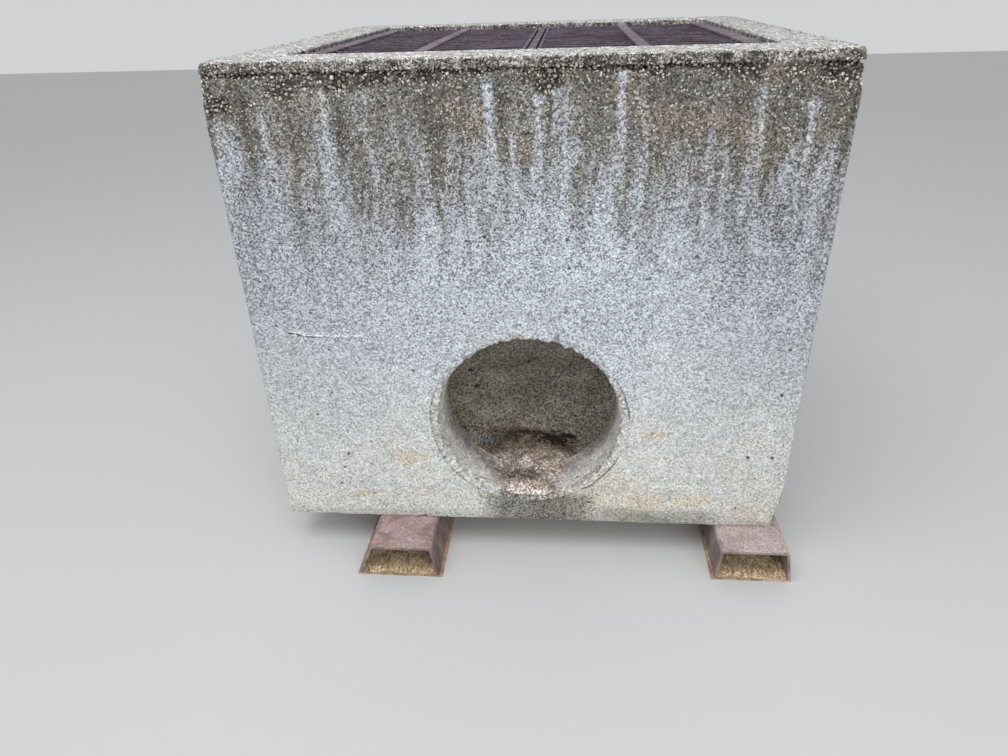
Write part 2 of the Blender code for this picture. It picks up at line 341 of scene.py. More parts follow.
def chamber_cutter():
    bm = box_mesh((CHAMBER_X - CHAMBER_HALF_X, -CHAMBER_HALF_Y, FLOOR_TOP),
                  (CHAMBER_X + CHAMBER_HALF_X, CHAMBER_HALF_Y, RIM - MOUTH_ROUND))
    upright = [e for e in bm.edges if runs_along(e, 2)]
    bmesh.ops.bevel(bm, geom=upright, offset=CHAMBER_CORNER, segments=4, profile=0.5, affect="EDGES", material=-1)
    top = max(bm.faces, key=lambda f: f.calc_center_median().z)
    last_inset, last_rise = 0.0, 0.0
    steps = 4
    for step in range(1, steps + 2):
        a = math.pi / 2 * min(step, steps) / steps
        inset = MOUTH_ROUND * (1 - math.cos(a))
        rise = MOUTH_ROUND * math.sin(a) + (0.05 if step > steps else 0.0)
        verts, faces = extruded(bm, [top])
        bmesh.ops.delete(bm, geom=[top], context="FACES_ONLY")
        top = faces[0]
        wide = Vector(((CHAMBER_HALF_X + inset) / (CHAMBER_HALF_X + last_inset),
                       (CHAMBER_HALF_Y + inset) / (CHAMBER_HALF_Y + last_inset), 1.0))
        bmesh.ops.scale(bm, vec=wide, verts=verts, space=Matrix.Translation((-CHAMBER_X, 0, 0)))
        bmesh.ops.translate(bm, vec=(0, 0, rise - last_rise), verts=verts)
        last_inset, last_rise = inset, rise
    for axis, cuts in ((2, 30), (0, 40), (1, 40)):
        cut_along(bm, axis, cuts, lambda e: e.calc_length() > 0.2)
    for axis in (0, 1):
        cut_along(bm, axis, 2, lambda e: e.verts[0].co.z > RIM - 0.02 and e.calc_length() > 0.015)
    bmesh.ops.recalc_face_normals(bm, faces=bm.faces)
    return bm


def bore_cutter():
    """A stack of rings along the pipe hole's axis, tapering inwards."""
    bm = bmesh.new()
    start = BOX_LOW.y - 0.02
    bmesh.ops.create_circle(bm, cap_ends=True, segments=HOLE_CORNERS, radius=HOLE_R)
    bmesh.ops.rotate(bm, matrix=Matrix.Rotation(math.pi / 2, 3, "X"), verts=bm.verts)
    bmesh.ops.translate(bm, vec=(CHAMBER_X, start, HOLE_Z), verts=bm.verts)
    stations = [BOX_LOW.y + 0.0001] + [BOX_LOW.y + 0.003 * k for k in range(1, 8)]
    stations += [BOX_LOW.y + 0.03 + 0.012 * k for k in range(9)] + [BOX_LOW.y + WALL + 0.02]
    face = bm.faces[:][0]
    last_y, last_r = start, HOLE_R
    for y in stations:
        verts, faces = extruded(bm, [face])
        if last_y != start:
            bmesh.ops.delete(bm, geom=[face], context="FACES_ONLY")
        face = faces[0]
        bmesh.ops.translate(bm, vec=(0, y - last_y, 0), verts=verts)
        ratio = bore_radius(y) / last_r
        bmesh.ops.scale(bm, vec=(ratio, 1, ratio), verts=verts, space=Matrix.Translation((-CHAMBER_X, 0, -HOLE_Z)))
        last_y, last_r = y, bore_radius(y)
    bmesh.ops.recalc_face_normals(bm, faces=bm.faces)
    return bm


def divided_block():
    """The plain block, with small cells where the concrete is rough and larger ones elsewhere."""
    bm = box_mesh(BOX_LOW, BOX_HIGH)
    cells = 75
    cut_along(bm, 0, cells)
    cut_along(bm, 1, cells)
    cut_along(bm, 2, int(cells * 0.88))

    def from_sides(co):
        return min(HALF.x - abs(co.x - MIDDLE.x), HALF.y - abs(co.y))

    def on_side(co):
        return from_sides(co) < 1e-5

    def upright_corner(co, reach):
        return max(HALF.x - abs(co.x - MIDDLE.x), HALF.y - abs(co.y)) < reach

    def ring(co, low, high):
        return co.y < BOX_LOW.y + 1e-5 and low < from_hole(co) - HOLE_R < high

    refine(bm, lambda co: (on_side(co) and RIM - co.z < 0.118) or (co.z > RIM - 1e-5 and from_sides(co) < 0.06)
           or upright_corner(co, 0.034) or (co.z < FOOT + 0.034 and from_sides(co) < 0.034) or ring(co, -0.03, 0.04))
    refine(bm, lambda co: (on_side(co) and RIM - co.z < 0.044) or (co.z > RIM - 1e-5 and from_sides(co) < 0.026)
           or upright_corner(co, 0.014) or ring(co, -0.012, 0.024)
           or (co.y < BOX_LOW.y + 1e-5 and co.x < MIDDLE.x - 0.53 and RIM - co.z < 0.11))
    return bm


def make_casting(outside, inside):
    """The whole concrete box: a divided block, hollowed out, then worn point by point."""
    block = into_scene("concrete_block", mesh_of("concrete_block", divided_block()))
    helpers = [block]
    for name, cutter in (("chamber", chamber_cutter()), ("bore", bore_cutter())):
        helpers.append(into_scene(name, mesh_of(name, cutter)))
        boolean = block.modifiers.new(name, "BOOLEAN")
        boolean.operation = "DIFFERENCE"
        boolean.solver = "EXACT"
        boolean.object = helpers[-1]
    hollow = evaluated_copy(block)
    for helper in helpers:
        bpy.data.objects.remove(helper)

    bm = bmesh_of(hollow)
    bmesh.ops.triangulate(bm, faces=bm.faces)
    stony = bm.verts.layers.float.new("stony")
    # stony also marks where the outside finish paints shade: between exposed stones and in the undercut line
    for vert in bm.verts:
        p = vert.co - MIDDLE
        ring = from_hole(vert.co) - HOLE_R
        if max(abs(p[i]) - HALF[i] for i in range(3)) > -1e-4:
            plain = vert.co.copy()
            vert.co, vert[stony], _ = weather_outside(plain)
            if ring < 0.001 and plain.y < 0:
                vert.co = weather_bore(plain)
            elif ring < EDGE_REACH and plain.y < 0:
                vert.co += away_from_hole(plain) * hole_growth(plain, 0.0) * (1 - smooth(0.0, EDGE_REACH, ring))
                vert.co.y += collar_loss(plain)
        elif p.y < -CHAMBER_HALF_Y + 1e-4 and ring < 0.004:
            vert.co = weather_bore(vert.co)
        else:
            near_mouth = smooth(0.022, 0.006, HALF.z - p.z)
            roll = Vector((wavy(p.x, p.y, p.z, 9), wavy(p.y, p.z, p.x, 9), 0.3 * wavy(p.z, p.x, p.y, 9)))
            vert.co += roll * 0.0012
            fret = Vector((wavy(p.y, p.z, 1, 60), wavy(p.x, p.z, 2, 60), 0.4 * wavy(p.x, p.y, 3, 60)))
            vert.co += fret * 0.0014 * near_mouth
    for face in bm.faces:
        c = face.calc_center_median()
        within = abs(c.x - CHAMBER_X) < CHAMBER_HALF_X + 0.003 and abs(c.y) < CHAMBER_HALF_Y + 0.003
        face.material_index = 1 if within and c.z < RIM - 0.030 else 0
    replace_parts(finish_piece("concrete_casting", bm, (outside, inside), "inlet", 50), "inlet_box")


# ---- stones ----

# radii in metres: the least, the most, and the most that a few have
PATCH_STONES, UNDERCUT_STONES = (0.0020, 0.0044, 0.0072), (0.0028, 0.0054, 0.0088)
LIP_STONES, CORNER_STONES = (0.0015, 0.0031, 0.0046), (0.0013, 0.0026, 0.0036)
SILT_STONES, RAIL_GRIT = (0.0009, 0.0020, 0.0042), (0.0008, 0.0016, 0.0030)
ROUGH_TRIES, LIP_TRIES, CORNER_TRIES, SILT_TRIES, RAIL_TRIES = 24000, 7000, 5000, 5000, 1500


def face_point(side, u, d):
    """A point of the plain block, u along a side and d under the rim."""
    across = {FRONT: (u, -HALF.y), RIGHT: (HALF.x, u), BACK: (u, HALF.y), LEFT: (-HALF.x, u)}[side]
    return MIDDLE + Vector((*across, HALF.z - d))


def kept_inside(centre, size):
    """Move a stone inwards until none of it stands past the casting's own planes."""
    p = centre - MIDDLE
    room = [HALF[i] - size * 1.50 - SKIN_GAP for i in range(3)]
    return MIDDLE + Vector([max(-room[i], min(room[i], p[i])) for i in range(3)])


def stone_size(rng, small, large, few):
    """Mostly small stones, and a few up to the size few."""
    return rng.uniform(large, few) if rng.random() < 0.13 else rng.uniform(small, large)


def scatter(rng, tries, choose, packing=0.85):
    """Throw stones at chosen places, and keep those that don't sit in one another."""
    kept, grid, cell = [], {}, 0.013
    steps = (-1, 0, 1)
    for _ in range(tries):
        spot = choose(rng)
        if spot is None:
            continue
        centre, size, _ = spot
        a, b, c = (int(value // cell) for value in centre)
        near = (other for i in steps for j in steps for k in steps for other in grid.get((a + i, b + j, c + k), ()))
        if all((centre - place).length > packing * (size + other_size) for place, other_size, _ in near):
            kept.append(spot)
            grid.setdefault((a, b, c), []).append(spot)
    return kept


def heap(name, spots, finish, seed):
    """One object of many small angular stones. Each vertex holds its stone's tone."""
    rng = random.Random(seed)
    whole = bmesh.new()
    whole.verts.layers.float.new("tone")
    for start in range(0, len(spots), 80):
        few = bmesh.new()
        layer = few.verts.layers.float.new("tone")
        for centre, size, tone in spots[start:start + 80]:
            axis = Vector((rng.uniform(-1, 1), rng.uniform(-1, 1), rng.uniform(0.1, 1)))
            flat = (rng.uniform(0.75, 1.25), rng.uniform(0.70, 1.05), rng.uniform(0.55, 0.95), 1.0)
            shape = Matrix.Translation(centre) @ Matrix.Rotation(rng.uniform(0, 6.28), 4,
                                                                 axis) @ Matrix.Diagonal(flat)
            finer = 2 if size > 0.0080 else 1
            made = bmesh.ops.create_icosphere(few, subdivisions=finer, radius=size, matrix=shape)
            for vert in made["verts"]:
                vert.co += Vector([rng.uniform(-1, 1) for _ in range(3)]) * size * 0.21
                vert[layer] = tone
        mesh = mesh_of("few_stones", few)
        whole.from_mesh(mesh)
        bpy.data.meshes.remove(mesh)
    finish_piece(name, whole, (finish,), "inlet", 24)


def rough_stone(side):
    """Stones in the undercut line and in the open patches under the lip."""
    def choose(rng):
        u, d = rng.uniform(-STONE_REACH, STONE_REACH), LIP - 0.003 + (ROUGH_DEEP - LIP) * rng.random() ** 1.6
        undercut = seam(side, u, d)
        if rng.random() > max(stoniness(side, u, d) * 0.95, undercut * 0.8):
            return None
        size = stone_size(rng, *(UNDERCUT_STONES if undercut > 0.3 else PATCH_STONES))
        skin, _, facing = weather_outside(face_point(side, u, d))
        tone = rng.betavariate(1.3, 1.7) if rng.random() < 0.72 else rng.uniform(0.80, 1.0)
        return kept_inside(skin + facing * size * 0.38, size), size, tone
    return choose


def lip_stone(side):
    """Grains of the worn lip and of the outer strip of the rim's top."""
    def choose(rng):
        u, t = rng.uniform(-STONE_REACH, STONE_REACH), rng.uniform(-0.045, LIP)
        size = stone_size(rng, *LIP_STONES)
        if t > 0:
            plain = face_point(side, u, t)
        else:
            if rng.random() < smooth(-0.012, -0.045, t) * 0.85 or abs(u) > STONE_REACH + t:
                return None
            plain = face_point(side, u, 0.0)
            inwards = {FRONT: (0, -t, 0), RIGHT: (t, 0, 0), BACK: (0, t, 0), LEFT: (-t, 0, 0)}[side]
            plain += Vector(inwards)
        skin, _, facing = weather_outside(plain)
        return kept_inside(skin + facing * size * 0.32, size), size, rng.betavariate(1.1, 1.0)
    return choose


def corner_stone(rng):
    """Grains down the upright edges, most on the front right one."""
    sx, sy = rng.choice(((1, -1), (1, -1), (1, -1), (-1, -1), (1, 1), (-1, 1)))
    d, back = rng.uniform(0.10, HEIGHT - 0.01), rng.uniform(0.0, 0.016)
    if wavy(d, sx, sy, 14) + 0.4 * wavy(d, sx, sy, 60) < (-0.25 if (sx, sy) == (1, -1) else 0.08):
        return None
    size = stone_size(rng, *CORNER_STONES)
    low = HALF - Vector((back if rng.random() < 0.5 else 0.0, 0.0, 0.0))
    plain = MIDDLE + Vector((sx * low.x, sy * (HALF.y if low.x < HALF.x else HALF.y - back), HALF.z - d))
    skin, _, facing = weather_outside(plain)
    return kept_inside(skin + facing * size * 0.10, size), size, rng.uniform(0.2, 0.9)


def make_stones(finish):
    share = 1.0
    for side, word in ((FRONT, "front"), (RIGHT, "right"), (BACK, "back"), (LEFT, "left")):
        rough = scatter(random.Random(100 + side), int(ROUGH_TRIES * share), rough_stone(side))
        heap("rough_stones_" + word, rough, finish, 110 + side)
        lip = scatter(random.Random(120 + side), int(LIP_TRIES * share), lip_stone(side), 0.9)
        heap("lip_stones_" + word, lip, finish, 130 + side)
    heap("corner_stones", scatter(random.Random(140), int(CORNER_TRIES * share), corner_stone), finish, 141)


# ---- node helpers ----

def by_math(operation, turned=False):
    """A Python operator that adds a Math node."""
    def work(self, other=0.0):
        return self.net.math(operation, *((other, self) if turned else (self, other)))
    return work


class Value:
    """A number, place or colour that a shader node gives out, worked on as a number is."""

    def __init__(self, net, socket):
        self.net, self.socket = net, socket

    __add__, __radd__ = by_math("ADD"), by_math("ADD", True)
    __sub__, __rsub__ = by_math("SUBTRACT"), by_math("SUBTRACT", True)
    __mul__, __truediv__ = by_math("MULTIPLY"), by_math("DIVIDE")
    __lt__, __gt__ = by_math("LESS_THAN"), by_math("GREATER_THAN")
    __abs__, root, at_least = by_math("ABSOLUTE"), by_math("SQRT"), by_math("MAXIMUM")

    def centred(self, amount):
        """A value about a half, made to swing about nothing by amount."""
        return self.net.math("MULTIPLY_ADD", self, amount, -amount / 2)

    def ease(self, low, high, to_low=0.0, to_high=1.0):
        """to_low up to low, to_high from high on, eased between."""
        given = {"Value": self, "From Min": low, "From Max": high, "To Min": to_low, "To Max": to_high}
        return self.net.value("MapRange", "Result", given, interpolation_type="SMOOTHSTEP")

    def between(self, a, b):
        """Colour a where this is 0, and b where it is 1."""
        return self.net.mix(self, a, b)

    def tints(self, low, high, a, b):
        return self.ease(low, high).between(a, b)

    def coat(self, mask, colour):
        """This colour, covered by another where mask is 1."""
        return self.net.mix(mask, self, colour)

    def scaled(self, factor):
        return self.net.value("VectorMath", "Vector", {0: self, "Scale": factor}, operation="SCALE")

    def ramp(self, stops):
        """A colour for each value, from stops of a position and a colour."""
        node = self.net.add("ValToRGB", {"Fac": self})
        elements = node.color_ramp.elements
        elements[0].position, elements[1].position = stops[0][0], stops[-1][0]
        for position, *_ in stops[1:-1]:
            elements.new(position)
        for element, (_, *colour) in zip(elements, stops):
            element.color = paint(*colour)
        return Value(self.net, node.outputs["Color"])

    def split(self, kind="SeparateXYZ"):
        return [Value(self.net, part) for part in self.net.add(kind, {0: self}).outputs]

    def stretch(self, scale, move=(0.0, 0.0, 0.0)):
        return self.net.value("Mapping", "Vector", {"Vector": self, "Scale": scale, "Location": move})

    def noise(self, scale, detail, roughness):
        given = {"Vector": self, "Scale": scale, "Detail": detail, "Roughness": roughness}
        return self.net.value("TexNoise", "Fac", given)

    def bend(self, scale, amount):
        """A place pushed about by a soft noise."""
        push = self.net.value("TexNoise", "Color", {"Vector": self, "Scale": scale, "Detail": 2.0})
        given = {0: push, 1: (amount,) * 3, 2: (-amount / 2,) * 3}
        off = self.net.value("VectorMath", "Vector", given, operation="MULTIPLY_ADD")
        return self.net.value("VectorMath", "Vector", {0: self, 1: off}, operation="ADD")


class Net:
    """Adds and joins the shader nodes of one material or group."""

    def __init__(self, tree):
        self.tree = tree

    def put(self, socket, value):
        if isinstance(value, Value):
            self.tree.links.new(value.socket, socket)
        else:
            socket.default_value = value

    def add(self, kind, given=(), **settings):
        """A new node with its settings, and with values given to its sockets by name or number."""
        node = self.tree.nodes.new("ShaderNode" + kind)
        for key, value in settings.items():
            setattr(node, key, value)
        for key, value in dict(given).items():
            self.put(node.inputs[key], value)
        return node

    def value(self, kind, output, given=(), **settings):
        return Value(self, self.add(kind, given, **settings).outputs[output])

    def math(self, operation, *values):
        return self.value("Math", 0, enumerate(values), operation=operation)

    def mix(self, factor, a, b):
        """Two colours mixed. One that no node gives is written as its three values between 0 and 255."""
        node = self.add("Mix", {"Factor": factor}, data_type="RGBA", clamp_factor=True)
        sockets = [s for s in node.inputs if s.type == "RGBA"]
        for socket, colour in zip(sockets, (a, b)):
            self.put(socket, paint(*colour) if isinstance(colour, tuple) else colour)
        return Value(self, [s for s in node.outputs if s.type == "RGBA"][0])

    def group(self, tree, **given):
        """What a node group gives out: one value, or a list of them."""
        outputs = [Value(self, s) for s in self.add("Group", given, node_tree=tree).outputs]
        return outputs if len(outputs) > 1 else outputs[0]

    def painted(self, name):
        """A value kept on the piece's own points."""
        return self.value("Attribute", "Fac", attribute_name=name)


def larger(a, b):
    return a.net.math("MAXIMUM", a, b)


def smaller(a, b):
    return a.net.math("MINIMUM", a, b)


def node_group(name, inputs, outputs="Mask"):
    """Make a node group from a function of its inputs. Place is a vector, and all the others are numbers."""
    def build(work):
        tree = bpy.data.node_groups.new(name, "ShaderNodeTree")
        for way, labels in (("INPUT", inputs), ("OUTPUT", outputs)):
            for label in labels.split():
                kind = "NodeSocketVector" if label == "Place" else "NodeSocketFloat"
                tree.interface.new_socket(label, in_out=way, socket_type=kind)
        net = Net(tree)
        start, end = tree.nodes.new("NodeGroupInput"), tree.nodes.new("NodeGroupOutput")
        made = work(net, *(Value(net, start.outputs[label]) for label in inputs.split()))
        for label, value in zip(outputs.split(), made if isinstance(made, tuple) else (made,)):
            net.put(end.inputs[label], value)
        return tree
    return build


@node_group("specks", "Place Scale Low High")
def specks(net, place, scale, low, high):
    """Small specks: 1 where a fine noise passes Low, full by High."""
    return place.noise(scale, 2.0, 0.6).ease(low, high)


@node_group("sand_grains", "Place Scale", "Swing Chance")
def sand_grains(net, place, scale):
    """Sand grains: Swing lies between about -1 and 1 from grain to grain, Chance is a second value for each grain."""
    tone, chance, _ = net.value("TexVoronoi", "Color", {"Vector": place, "Scale": scale}).split("SeparateColor")
    dust = place.noise(scale * 2.1, 1.0, 0.5)
    return tone.centred(1.30) + dust.centred(1.70), chance


@node_group("streaks", "Place Across Low High")
def upright_streaks(net, place, across, low, high):
    """Upright streaks: a noise drawn out along Z."""
    return place.stretch((1.0, 1.0, 0.07)).noise(across, 4.0, 0.6).ease(low, high)


@node_group("air_holes", "Place Scale Radius Share")
def air_holes(net, place, scale, radius, share):
    """Round air holes in upright faces: a few of the cells hold one, with its own size."""
    x, y, z = place.split()
    upright = net.value("CombineXYZ", "Vector", {"X": x + y, "Y": z})
    cells = net.add("TexVoronoi", {"Vector": upright, "Scale": scale}, voronoi_dimensions="2D")
    held, size, _ = Value(net, cells.outputs["Color"]).split("SeparateColor")
    has_hole = held < share
    reach = radius * size.ease(0.0, 1.0, 0.4, 1.3)
    return (Value(net, cells.outputs["Distance"]) / reach).ease(1.0, 0.7) * has_hole


@node_group("spot", "X Depth Across Down Radius Flat")
def round_mark(net, x, depth, across, down, radius, flat):
    """One round mark on an upright face, at Across and Down under the rim."""
    dx = x - across
    dz = (depth - down) * flat
    return ((dx * dx + dz * dz).root() / radius).ease(1.0, 0.45)


@node_group("water_run", "X Depth Across Top Bottom Width")
def water_run(net, x, depth, across, top, bottom, width):
    """One mark where water ran down: a rounded head at Top, wider lower down, fading out by Bottom."""
    off = abs(x - across)
    past = depth - top
    along = past / (bottom - top)
    spread = along.ease(0.05, 1.0, 0.75, 2.3) + past.ease(0.034, 0.016, 0.0, 0.55)
    core = (off / (width * spread)).ease(1.0, 0.2)
    return core * past.ease(-0.002, 0.010) * along.ease(1.0, 0.10)


@node_group("washed_dirt", "Place")
def washed_dirt(net, place):
    """Where washed-in dirt lies in the lowest part of the pipe hole and behind it, broken up by grit."""
    x, y, z = place.split()
    off = abs(x + 0.012)
    half = y.ease(BOX_LOW.y, -0.50, 0.070, 0.125)
    ragged = place.noise(130.0, 3.0, 0.65).centred(1.3) + place.noise(24.0, 3.0, 0.6).centred(0.9)
    reached = off / half + ragged
    ends = (y + ragged * 0.06).ease(-0.29, -0.36)
    low = z < HOLE_Z - 0.13
    return reached.ease(1.15, 0.75) * low * ends


def new_material(name, roughness, metallic=0.0):
    """A material's net, and the place of each point on its piece."""
    made = bpy.data.materials.new(name)
    made.use_nodes = True
    net = Net(made.node_tree)
    net.made, net.shader = made, made.node_tree.nodes["Principled BSDF"]
    net.put(net.shader.inputs["Roughness"], roughness)
    net.put(net.shader.inputs["Metallic"], metallic)
    return net, net.value("TexCoord", "Object")


def finish_material(net, colour, height, distance, strength):
    """Give a material its colour and its bumps."""
    net.put(net.shader.inputs["Base Color"], colour)
    bumps = net.value("Bump", "Normal", {"Distance": distance, "Strength": strength, "Height": height})
    net.put(net.shader.inputs["Normal"], bumps)
    return net.made


# ---- concrete ----

# across, top, bottom, half width and strength of each mark on the front face, in metres
WHITE_RUNS = (
    (-0.055, 0.040, 0.330, 0.0100, 0.90), (-0.014, 0.138, 0.520, 0.0075, 0.75), (0.037, 0.064, 0.420, 0.0090, 0.90),
    (0.188, 0.022, 0.330, 0.0120, 0.90), (0.440, 0.058, 0.330, 0.0085, 0.65), (0.531, 0.080, 0.330, 0.0105, 0.80),
    (0.236, 0.112, 0.300, 0.0090, 0.45), (-0.373, 0.038, 0.280, 0.0095, 0.55), (-0.295, 0.058, 0.280, 0.0100, 0.55),
    (-0.498, 0.082, 0.280, 0.0105, 0.50), (0.090, 0.150, 0.420, 0.0140, 0.40),
)
DARK_RUNS = (
    (-0.533, 0.085, 0.330, 0.0120, 0.95), (-0.351, 0.100, 0.400, 0.0105, 0.95), (-0.033, 0.060, 0.250, 0.0090, 0.75),
    (0.006, 0.070, 0.260, 0.0095, 0.70), (0.058, 0.080, 0.260, 0.0095, 0.65), (0.462, 0.090, 0.330, 0.0090, 0.85),
    (0.372, 0.180, 0.460, 0.0120, 0.75), (0.594, 0.060, 0.480, 0.0140, 0.90), (0.209, 0.040, 0.230, 0.0085, 0.65),
    (-0.180, 0.050, 0.220, 0.0200, 0.55), (0.300, 0.060, 0.280, 0.0220, 0.55),
)
# across, down and radius
PITS = (
    (0.240, 0.267, 0.0032), (0.350, 0.378, 0.0060), (0.466, 0.227, 0.0045), (-0.506, 0.163, 0.0038),
    (-0.439, 0.172, 0.0036), (-0.466, 0.506, 0.0034), (-0.127, 0.506, 0.0034), (-0.445, 0.918, 0.0048),
    (-0.460, 0.967, 0.0044), (-0.408, 0.962, 0.0030), (0.538, 0.923, 0.0034),
)
OCHRE_SPOTS = (
    (-0.559, 0.903, 0.036), (-0.408, 1.000, 0.040), (-0.285, 0.883, 0.056), (0.300, 0.808, 0.050),
    (0.280, 0.995, 0.075), (0.390, 0.991, 0.070),
)
# the bare faces from the rim down: share of the height, and colour
FACE_TONES = ((0.00, 103, 99, 92), (0.12, 121, 118, 112), (0.23, 153, 155, 158), (0.38, 182, 187, 196),
              (0.56, 197, 202, 208), (0.74, 206, 209, 209), (0.94, 215, 215, 210))
POUR_LINE = 0.968               # depth of the line where one pour ended


def together(net, kind, x, depth, marks, **fixed):
    """All marks of one kind, the strongest at each place."""
    total = None
    for mark in marks:
        if kind is water_run:
            across, top, bottom, width, strength = mark
            mask = net.group(water_run, X=x, Depth=depth, Across=across, Top=top, Bottom=bottom, Width=width)
            mask *= strength
        else:
            across, down, radius = mark
            mask = net.group(round_mark, X=x, Depth=depth, Across=across, Down=down, Radius=radius, **fixed)
        total = mask if total is None else larger(total, mask)
    return total


def weathered_concrete():
    """The casting's finish outside, on the rim and in the pipe hole. u runs along the front, d down from the rim."""
    net, place = new_material("weathered_concrete", 0.93)
    x, y, z = place.split()
    d = RIM - z
    u = x - MIDDLE.x
    on_front = y < BOX_LOW.y + 0.03
    blotch = place.noise(5.5, 5.0, 0.6)
    fine = place.noise(34.0, 5.0, 0.65)
    gravel = place.noise(120.0, 2.0, 0.6)
    bent_place = place.bend(7.0, 0.05)
    streaks = net.group(upright_streaks, Place=bent_place, Across=22.0, Low=0.36, High=0.64)
    moved = bent_place.stretch((1, 1, 1), (3, 5, 0))
    narrow = net.group(upright_streaks, Place=moved, Across=62.0, Low=0.34, High=0.66)

    # brown and dark under the rim, bluish grey half way down, pale and warmer at the foot
    reach = d + blotch.centred(-0.42)
    reach += (streaks.centred(0.2) + narrow.centred(0.12)) * d.ease(0.6, 0.25)
    right_top = u.ease(0.18, 0.52) * d.ease(0.34, 0.1) * on_front
    reach -= right_top * 0.085
    colour = (reach / HEIGHT).ramp(FACE_TONES)
    tanned = place.noise(11.0, 3.0, 0.6).ease(0.48, 0.66) * d.ease(0.3, 0.1) * 0.34
    colour = colour.coat(tanned, (158, 143, 124))
    right_low = u.ease(0.28, 0.56) * d.ease(0.45, 0.6) * 0.055
    aside = smaller(abs(u) / HALF.x, abs(y) / HALF.y)
    dimmer = aside.ease(0.3, 0.95, 0.0, 0.17) * d.ease(0.12, 0.3) * d.ease(0.9, 0.55)
    dimmer = dimmer + right_low + d.ease(0.085, 0.03, 0.0, 0.13)
    colour = colour.scaled(1.0 - dimmer)

    # marks of running water: mapped ones on the front, chance ones elsewhere
    swing = place.noise(9.0, 3.0, 0.6).centred(0.03) + fine.centred(0.012)
    bent = u + swing
    speckled = gravel.ease(0.36, 0.6, 0.45, 1.0) * fine.ease(0.34, 0.56, 0.6, 1.0)
    chance = (1.0 - on_front) * d.ease(0.03, 0.08) * d.ease(0.5, 0.12)
    dark = together(net, water_run, bent, d, DARK_RUNS) * on_front
    dark = larger(dark, chance * narrow.ease(0.35, 0.05) * 0.7)
    colour = colour.coat(dark * gravel.ease(0.64, 0.42, 0.55, 1.0) * 0.92, (84, 78, 70))
    white = together(net, water_run, bent, d, WHITE_RUNS) * on_front
    white = larger(white, chance * narrow.ease(0.86, 1.0) * 0.7)
    colour = colour.coat(white * speckled, (194, 199, 207))

    # ochre patches low down, the pour line and the dark foot under it
    warm = place.noise(4.2, 3.0, 0.5).ease(0.46, 0.68) * d.ease(0.7, 0.95) * 0.6
    loose_u = u + place.noise(15.0, 3.0, 0.65).centred(0.11)
    loose_d = d + place.bend(3.0, 0.3).noise(17.0, 3.0, 0.65).centred(0.07)
    spots = together(net, round_mark, loose_u, loose_d, OCHRE_SPOTS, Flat=2.2)
    warm = larger(warm, spots * gravel.ease(0.62, 0.4, 0.6, 1.0) * on_front)
    colour = colour.coat(warm * 0.5, (206, 184, 140))
    wave = blotch.centred(0.03)
    line = abs(d - POUR_LINE + wave)
    colour = colour.coat(line.ease(0.016, 0.004, 0.0, 0.3), (184, 190, 196))
    foot = (d + fine.centred(0.05)).ease(1.03, 1.066) * 0.3
    mossy = (d + wave).ease(1.008, 1.044) * u.ease(0.13, 0.22) * u.ease(0.52, 0.4) * on_front
    colour = colour.coat(larger(foot, mossy * fine.ease(0.34, 0.58, 0.35, 0.85)), (128, 127, 118))

    # darker mark under the pipe hole
    drop = (u - 0.035) / 0.165
    below = drop * drop + blotch.centred(0.9)
    under = below.ease(1.0, 0.1) * d.ease(0.972, 0.995) * on_front
    colour = colour.coat(under * 0.9, (104, 100, 92))

    # the plug's rough ring around the hole, with a thin dark line outside it
    hole_x, hole_z = x - CHAMBER_X, z - HOLE_Z
    out_from = (hole_x * hole_x + hole_z * hole_z).root() - HOLE_R
    out_bent = out_from + (fine.centred(0.006) + blotch.centred(0.016))
    patchy = place.noise(8.0, 2.0, 0.6).ease(0.42, 0.58, 0.15, 1.0)
    ring = out_bent.ease(0.019, 0.012) * out_from.ease(-0.004, 0.002) * on_front * patchy
    colour = colour.coat(ring * 0.6, gravel.tints(0.4, 0.6, (170, 164, 156), (222, 217, 211)))
    broken_up = larger(gravel.ease(0.42, 0.54), u.ease(0.05, 0.12))
    rut = abs(out_bent - 0.0175).ease(0.0034, 0.0012) * broken_up * hole_z.ease(0.17, 0.06) * patchy * on_front
    rim_line = out_from.ease(0.0045, 0.001) * gravel.ease(0.62, 0.42) * on_front
    colour = colour.coat(larger(rut, rim_line * 0.6) * 0.7, (84, 82, 77))

    # inside the hole: pale near the face, darker brown further in
    bore = out_from.ease(0.0015, -0.0015) * y.ease(BOX_LOW.y + 0.01, BOX_LOW.y + 0.02) * (y < 0.0)
    colour = colour.coat(bore, fine.tints(0.35, 0.65, (202, 199, 195), (228, 224, 219)))
    washed = y + place.noise(14.0, 4.0, 0.6).centred(0.07)
    inner_darkening = bore * washed.ease(BOX_LOW.y + 0.052, BOX_LOW.y + 0.105)
    colour = colour.coat(inner_darkening * 0.8, fine.tints(0.35, 0.65, (108, 100, 91), (148, 140, 130)))
    dirty = bore * net.group(washed_dirt, Place=place)
    colour = colour.coat(dirty, silt_colours(net, place))

    # the crack on the left: a painted highlight along its ridge and a painted shadow line under it
    ridge_d = u.ease(-0.525, -0.476, 0.5546, 0.5632)
    off = d - ridge_d + place.noise(45.0, 4.0, 0.7).centred(0.01)
    span = u.ease(-0.528, -0.518) * u.ease(-0.31, -0.43) * on_front
    painted_ridge_highlight = abs(off + 0.0022).ease(0.0042, 0.0018) * span
    painted_ridge_shadow = abs(off - 0.0014).ease(0.0024, 0.0008) * span * u.ease(-0.415, -0.455) * gravel.ease(0.6, 0.5)
    colour = colour.coat(painted_ridge_highlight * 0.85, (232, 233, 232))
    colour = colour.coat(painted_ridge_shadow * 0.9, (62, 60, 58))
